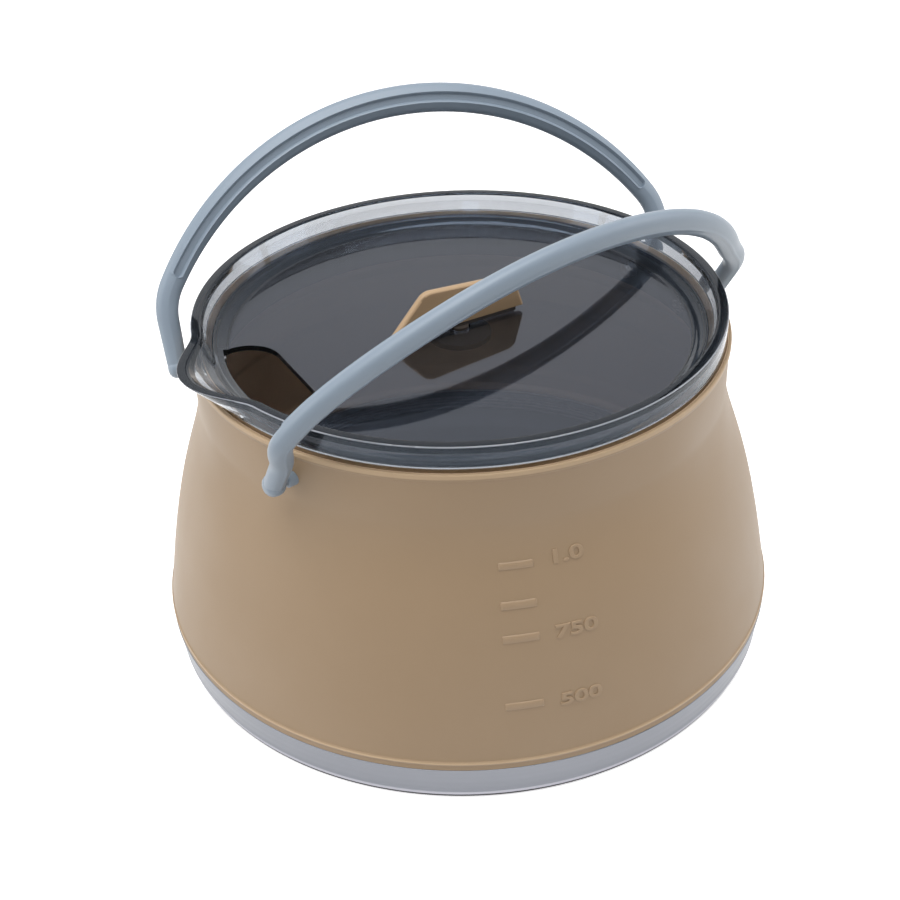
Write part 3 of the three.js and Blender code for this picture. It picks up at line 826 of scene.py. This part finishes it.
def buildBail(name, side):
    lean = bail["lean"][name]
    stations = bailStations()
    verts, faces = [], []
    for s, h, normalS, normalH, inside in stations:
        # the section turns with the flexed centre line
        shift = flexShift(name, s, h)
        ahead = flexShift(name, s - normalH * bendStep, h + normalS * bendStep)
        normalS, normalH = Vector((normalS, normalH - (ahead - shift) / bendStep)).normalized()
        s += shift
        h -= bail["droop"] * h / bail["rise"]
        width = bail["legWidth"] + (bail["crownWidth"] - bail["legWidth"]) * min(1, max(0, h / bail["rise"]))
        ring = bailSection(width / 2, bail["thickness"] / 2, inside)
        for along, across in ring:
            verts.append(sidePlace((across, s + along * normalS, h + along * normalH), side, lean))
    addLoft(faces, 0, len(stations), len(ring), True)
    for end in (-1, 1):
        addHead(verts, faces, side, lean, end)
    piece = makeObject(f"bailHandle{name.capitalize()}", verts, faces, f"{name}_bail", nylon, 42)
    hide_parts(f"handle_{name}")


def addRod(verts, faces, profile, side, lean, end, steps=40):
    # a rod along the pivot line from its (radius, distance) profile
    start = len(verts)
    for radius, along in profile:
        for step in range(steps):
            angle = 2 * math.pi * step / steps
            point = (radius * math.cos(angle), end * along, radius * math.sin(angle))
            verts.append(sidePlace(point, side, lean))
    addLoft(faces, start, len(profile), steps, end > 0)


def addHead(verts, faces, side, lean, end):
    inner = halfChord - bail["legWidth"] / 2
    outer = halfChord + bail["legWidth"] / 2
    rounding = bail["headRound"]
    profile = []
    for step in range(5):
        angle = math.pi / 2 * step / 4
        profile.append((
            bail["headRadius"] - rounding * (1 - math.sin(angle)), inner + rounding * (1 - math.cos(angle)),
        ))
    for step in range(5):
        angle = math.pi / 2 * step / 4
        profile.append((
            bail["headRadius"] - rounding * (1 - math.cos(angle)), outer - rounding * (1 - math.sin(angle)),
        ))
    addRod(verts, faces, profile, side, lean, end)


def buildBosses(name, side):
    r, inner, edge = bail["bossRadius"], bail["bossInner"], bail["bossEdge"]
    outer = halfChord - bail["legWidth"] / 2 - bail["bossGap"]
    for end in (-1, 1):
        verts, faces = [], []
        profile = [(r - edge, inner), (r, inner + edge), (r, outer - edge), (r - edge, outer)]
        addRod(verts, faces, profile, side, 0, end)
        place = "Spout" if end == side else "Rear"
        piece = makeObject(f"pivotBoss{place}{name.capitalize()}", verts, faces, "rim", nylon, 40)
        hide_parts(f"pivot_bush_{place.lower()}_{name}")


for handleName, handleSide in (("left", -1), ("right", 1)):
    buildBail(handleName, handleSide)
    buildBosses(handleName, handleSide)
print("stage: handles made")

# the lid
lid = {
    "radius": 66.5, "seatZ": 85.52, "topZ": 91.3, "rimInner": 64.0, "slopeFoot": 61.7, "slopeFootZ": 85.4,
    "stepRadius": 59.6, "stepZ": 84.6, "discRadius": 58.2, "discZ": 83.8, "discUnderZ": 82.4,
    "skirtWall": 1.6, "slopeWall": 1.2, "edgeRound": 0.42,
    "spoutReach": 7.25, "spoutHalfAngle": 16.5, "spoutPower": 0.75, "risePower": 0.8,
    "holeInner": 44.5, "holeOuter": 59.3, "holeHalfWidth": 20.5, "holeCorner": 9.0,
    "holeFit": 0.97, "stemHole": 2.7, "edgeTilt": 0.25, "upTilt": 0.2, "flatTilt": 0.9,
}


def spoutBulge(angle):
    # how far the rim is drawn out at an angle from +X; the spout points along -X
    off = abs(abs(math.degrees(angle if angle <= math.pi else angle - 2 * math.pi)) - 180)
    t = min(1, off / lid["spoutHalfAngle"])
    return lid["spoutReach"] * (0.5 + 0.5 * math.cos(math.pi * t)) ** lid["spoutPower"]


def lidPlace(r, z, angle):
    share = min(1, max(0, (z - lid["slopeFootZ"]) / (lid["topZ"] - lid["slopeFootZ"])))
    if r > lid["slopeFoot"] - 0.5:
        r += spoutBulge(angle) * share ** lid["risePower"]
    return (r * math.cos(angle), r * math.sin(angle), z)


def buildLid():
    wallAt = lid["skirtWall"]
    corners = [
        (0, lid["discZ"], 0),
        (lid["discRadius"], lid["discZ"], 0.8),
        (lid["stepRadius"], lid["stepZ"], 0.6),
        (lid["slopeFoot"], lid["slopeFootZ"], 0.5),
        (lid["rimInner"], lid["topZ"], 0.5),
        (lid["radius"], lid["topZ"], lid["edgeRound"]),
        (lid["radius"], lid["seatZ"], 0.3),
        (lid["radius"] - wallAt, lid["seatZ"], 0.2),
        (lid["radius"] - wallAt, lid["topZ"] - 2.4, 0.2),
        (lid["slopeFoot"] + lid["slopeWall"] + 0.2, lid["slopeFootZ"], 0.4),
        (lid["stepRadius"] + wallAt, lid["stepZ"] - 1.4, 0.5),
        (lid["discRadius"] + 0.6, lid["discUnderZ"], 0.6),
        (0, lid["discUnderZ"], 0),
    ]
    profile = filletPath(corners)
    outward = [point for point in profile if point[0] > lid["discRadius"] - 3]
    fine = [profile[0]] + splitLongRuns(outward, 0.8) + [profile[-1]]
    verts, faces = revolve(fine[::-1], lidPlace)
    piece = makeObject("lidShell", verts, faces, None, lidPlastic, 32)
    cutWith(piece, makeHoleCutter())
    cutWith(piece, makeStemCutter())
    piece.data.shade_smooth()
    piece.data.set_sharp_from_angle(angle=math.radians(32))
    paintLid(piece)
    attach(piece, "lid")
    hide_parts("lid_shell")


def paintLid(piece):
    # the rim's top, its outer edge and the disc have finishes of their own: a painted highlight on the edge,
    # painted shade on the rim's top and the disc
    slots = {}
    for name, finish in (("edge", lidEdgeHighlight), ("rim", lidRimShade), ("disc", lidDiscShade)):
        slots[name] = len(piece.data.materials)
        piece.data.materials.append(finish)
    edgeFoot = (lid["topZ"] - lid["edgeRound"]) * toMetres
    discTop = (lid["discZ"] + 0.05) * toMetres
    stepInner, stepOuter = lid["discRadius"] * toMetres, (lid["slopeFoot"] + 0.3) * toMetres
    for face in piece.data.polygons:
        middle, distance = face.center, face.center.xy.length
        outward = face.normal.xy.dot(middle.xy.normalized())
        isUp = face.normal.z > lid["upTilt"]
        if middle.z > edgeFoot and outward > lid["edgeTilt"] and isUp:
            face.material_index = slots["edge"]
        elif isUp and (middle.z > edgeFoot or stepInner < distance < stepOuter):
            face.material_index = slots["rim"]
        elif middle.z < discTop and abs(face.normal.z) > lid["flatTilt"] and distance < stepInner:
            face.material_index = slots["disc"]


def makeHoleCutter():
    corner, half = lid["holeCorner"], lid["holeHalfWidth"]
    inner, outer = lid["holeInner"], lid["holeOuter"]
    outline = []
    for first, way in ((-math.pi / 2, -1), (0, 1)):
        for step in range(9):
            angle = first + math.pi / 2 * step / 8
            x, y = corner * math.cos(angle), corner * math.sin(angle)
            outline.append((-inner - corner + x, way * (half - corner) + y))
    limit = math.asin(half / outer) * lid["holeFit"]
    for step in range(25):
        angle = math.pi - limit + 2 * limit * step / 24
        outline.append((outer * math.cos(angle), outer * math.sin(angle)))
    verts, faces = extrudeOutline(outline, lid["discUnderZ"] - 1, lid["discZ"] + 1)
    return makeObject("holeCutter", verts, faces, None, lidPlastic)


def makeStemCutter():
    outline = [
        (lid["stemHole"] * math.cos(math.tau * n / 40), lid["stemHole"] * math.sin(math.tau * n / 40))
        for n in range(40)
    ]
    verts, faces = extrudeOutline(outline, lid["discUnderZ"] - 1, lid["discZ"] + 1)
    return makeObject("stemCutter", verts, faces, None, lidPlastic)


buildLid()
print("stage: lid made")

# the knob
knob = {
    "baseLeft": -20.0, "baseRight": 18.4, "topLeft": -9.9, "topRight": 15.5, "footZ": 83.8,
    "gap": 1.4, "height": 12.25, "rearDrop": 1.9, "thickness": 2.1, "corner": 2.0, "edge": 0.5,
    "undercut": 2.4, "footHalf": 0.8, "footGap": 0.32, "footSunk": 0.3,
    "stemRadius": 2.3, "stemEndRadius": 4.0, "stemEndZ": 79.0, "faceTilt": 0.9,
    # (place across the thickness, share of the edge by which the outline is drawn in)
    "layers": [(-1, 1.0), (-0.8, 0.35), (-0.45, 0.05), (0, 0), (0.45, 0.05), (0.8, 0.35), (1, 1.0)],
}


def buildKnob():
    outline = filletPath([
        (0, knob["gap"], 0),
        (knob["baseLeft"], knob["gap"], 0.5),
        (knob["topLeft"], knob["height"], knob["corner"]),
        (knob["topRight"], knob["height"] - knob["rearDrop"], knob["corner"]),
        (knob["baseRight"], knob["gap"], 0.5),
        (0.5, knob["gap"], 0),
    ], 8)
    middleX = (knob["baseLeft"] + knob["baseRight"]) / 2
    verts, faces = [], []
    for across, drawn in knob["layers"]:
        y = across * knob["thickness"] / 2
        shrink = knob["edge"] * drawn
        for x, z in outline:
            drawnX = x - math.copysign(shrink, x - middleX)
            verts.append((drawnX, y, knob["footZ"] + max(knob["gap"], z - shrink)))
    addLoft(faces, 0, len(knob["layers"]), len(outline))
    stemTop = knob["footZ"] + knob["footGap"] + 0.1
    end, endZ = knob["stemEndRadius"], knob["stemEndZ"]
    stem = [
        (0.01, endZ), (end - 0.3, endZ), (end, endZ + 0.5), (end - 0.4, endZ + 1.0),
        (knob["stemRadius"], endZ + 1.05), (knob["stemRadius"], stemTop), (0.01, stemTop),
    ]
    stemVerts, stemFaces = revolve(stem, None, 40)
    left, right = knob["baseLeft"] + knob["undercut"], knob["baseRight"] - knob["undercut"]
    half = knob["footHalf"]
    footVerts = [
        (x, y, knob["footZ"] + z)
        for z in (knob["footGap"], knob["gap"] + knob["footSunk"])
        for x, y in ((left, -half), (right, -half), (right, half), (left, half))
    ]
    footFaces = [[3, 2, 1, 0], [4, 5, 6, 7], [0, 1, 5, 4], [1, 2, 6, 5], [2, 3, 7, 6], [3, 0, 4, 7]]
    for moreVerts, moreFaces in ((stemVerts, stemFaces), (footVerts, footFaces)):
        shift = len(verts)
        verts += moreVerts
        faces += [[index + shift for index in face] for face in moreFaces]
    piece = makeObject("lidKnob", verts, faces, "lid", knobLitSilicone, 50)
    piece.data.materials.append(knobShadedFace)
    piece.data.materials.append(knobFootShade)
    footTop = (knob["footZ"] + knob["gap"] - 0.1) * toMetres
    # the foot gets the near-black painted shade, the blade's flat faces the darker painted shade, the rest
    # the painted highlight colour
    for face in piece.data.polygons:
        if face.center.z < footTop:
            face.material_index = 2
        elif abs(face.normal.y) > knob["faceTilt"]:
            face.material_index = 1
    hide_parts("lid_knob")


buildKnob()
print("stage: knob made")

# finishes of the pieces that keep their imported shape
cadFinishes = {
    "clamp_ring": steel, "rim_collar": collarPlastic, "knob_washer": collarPlastic,
    "pivot_pin_spout_left": steel, "pivot_pin_rear_left": steel,
    "pivot_pin_spout_right": steel, "pivot_pin_rear_right": steel,
}
for nodeName, finish in cadFinishes.items():
    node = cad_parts[nodeName]
    node.data.materials.clear()
    node.data.materials.append(finish)

# floor, light and camera
studio = {
    "floorSize": 4.0, "floorColor": (0.86, 0.86, 0.86, 1), "floorDrop": 0.05,
    "floorGlow": 0.6, "farGlow": 0.87, "glowStart": 0.45, "glowEnd": 1.3,
    "worldColor": (1, 1, 1, 1), "worldAmbient": 0.18, "lampAim": (0, 0, 0.06),
    "lamps": [
        {"name": "topSoft", "place": (-0.1, -0.1, 1.0), "size": 0.9, "power": 11.0},
        {"name": "leftSoft", "place": (-0.9, 0.3, 0.45), "size": 0.8, "power": 4.0},
        {"name": "rightSoft", "place": (0.95, -0.4, 0.45), "size": 0.8, "power": 3.6},
        {"name": "frontHighlight", "place": (-0.55, -0.75, 0.8), "size": 0.14, "power": 0.35},
    ],
}


def seenDirectly(tree):
    # one for what is seen, also in a reflection or through the lid; zero for the light that it gives
    path = addNode(tree, "ShaderNodeLightPath")
    seen = path.outputs["Is Camera Ray"]
    for ray in ("Is Glossy Ray", "Is Transmission Ray"):
        either = addNode(tree, "ShaderNodeMath", {"operation": "MAXIMUM"})
        tree.links.new(seen, either.inputs[0])
        join(tree, path, ray, either, 1)
        seen = either.outputs[0]
    return seen


def buildFloor():
    half = studio["floorSize"] / 2 / toMetres
    corners = ((-half, -half), (half, -half), (half, half), (-half, half))
    verts = [(x, y, -studio["floorDrop"]) for x, y in corners]
    values = {"Base Color": studio["floorColor"], "Roughness": 0.9}
    material, tree, shader = startMaterial("paleFloor", values)
    glow = addNode(tree, "ShaderNodeMath", {"operation": "MULTIPLY"})
    place = addNode(tree, "ShaderNodeTexCoord")
    distance = addNode(tree, "ShaderNodeVectorMath", {"operation": "LENGTH"})
    spread = addNode(tree, "ShaderNodeMapRange", None, {
        "From Min": studio["glowStart"], "From Max": studio["glowEnd"],
        "To Min": studio["floorGlow"], "To Max": studio["farGlow"],
    })
    join(tree, place, "Object", distance, 0)
    join(tree, distance, "Value", spread, "Value")
    join(tree, spread, "Result", glow, 1)
    tree.links.new(seenDirectly(tree), glow.inputs[0])
    shader.inputs["Emission Color"].default_value = (1, 1, 1, 1)
    join(tree, glow, 0, shader, "Emission Strength")
    floor = makeObject("floor", verts, [[0, 1, 2, 3]], None, material)


def buildWorld():
    world = bpy.data.worlds.new("softWhite")
    bpy.context.scene.world = world
    world.use_nodes = True
    tree = world.node_tree
    back = tree.nodes["Background"]
    back.inputs["Color"].default_value = studio["worldColor"]
    spread = addNode(tree, "ShaderNodeMapRange", None, {"To Min": studio["worldAmbient"], "To Max": 1.0})
    tree.links.new(seenDirectly(tree), spread.inputs["Value"])
    join(tree, spread, "Result", back, "Strength")


def buildLamps():
    for look in studio["lamps"]:
        light = bpy.data.lights.new(look["name"], "AREA")
        light.size = look["size"]
        light.energy = look["power"]
        lamp = bpy.data.objects.new(look["name"], light)
        bpy.context.scene.collection.objects.link(lamp)
        place = Vector(look["place"])
        aim = Vector(studio["lampAim"]) - place
        lamp.matrix_world = Matrix.Translation(place) @ aim.to_track_quat("-Z", "Y").to_matrix().to_4x4()


photoCamera = {
    "aim": (-3.18, 1.69, 46.27), "distance": 395.5, "turn": -28.0, "pitch": 33.78, "roll": 2.19,
    "lens": 59.47, "sensor": 36.0,
}


def buildCamera():
    pitch, roll = math.radians(photoCamera["pitch"]), math.radians(photoCamera["roll"])
    level = Vector((1, 0, 0))
    tilted = Vector((0, math.sin(pitch), math.cos(pitch)))
    forward = Vector((0, math.cos(pitch), -math.sin(pitch)))
    right = level * math.cos(roll) - tilted * math.sin(roll)
    up = level * math.sin(roll) + tilted * math.cos(roll)
    axes = Matrix((right, up, -forward)).transposed()
    turned = Matrix.Rotation(math.radians(photoCamera["turn"]), 3, "Z") @ axes
    aim = Vector(photoCamera["aim"]) * toMetres
    place = aim + turned.col[2] * photoCamera["distance"] * toMetres
    data = bpy.data.cameras.new("photoCamera")
    data.lens = photoCamera["lens"]
    data.sensor_width = photoCamera["sensor"]
    camera = bpy.data.objects.new("photoCamera", data)
    bpy.context.scene.collection.objects.link(camera)
    camera.matrix_world = Matrix.Translation(place) @ turned.to_4x4()
    bpy.context.scene.camera = camera


buildFloor()
buildWorld()
buildLamps()
buildCamera()
bpy.context.scene.view_settings.view_transform = "Standard"
print("stage: studio made")

bpy.context.view_layer.update()
